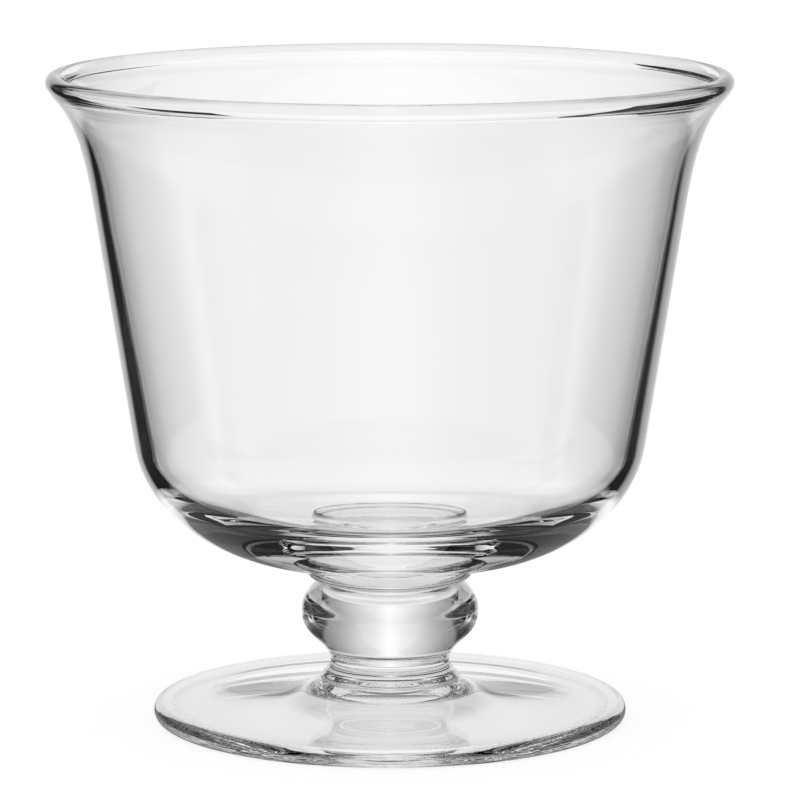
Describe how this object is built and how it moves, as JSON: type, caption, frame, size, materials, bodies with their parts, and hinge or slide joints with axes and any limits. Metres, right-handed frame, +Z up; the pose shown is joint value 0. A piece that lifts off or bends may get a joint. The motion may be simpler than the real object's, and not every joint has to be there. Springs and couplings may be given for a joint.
{
  "type": "trifle bowl",
  "caption": "Clear glass trifle bowl with a flared rounded lip and tapering wall, on a squat knopped stem and a broad shallow foot, for serving layered desserts at the table.",
  "frame": {"origin": "centre of the foot on the plane that it stands on", "axes": "+Z up along the turning axis of the bowl, stem and foot; +X and +Y are alike, because the part is turned"},
  "size_m": [0.23, 0.23, 0.22],
  "materials": {
    "clear_glass": "clear, fire-polished"
  },
  "bodies": {
    "root": {"bowl": "clear_glass", "wafer": "clear_glass", "knop": "clear_glass", "collar": "clear_glass", "foot": "clear_glass"}
  },
  "joints": []
}
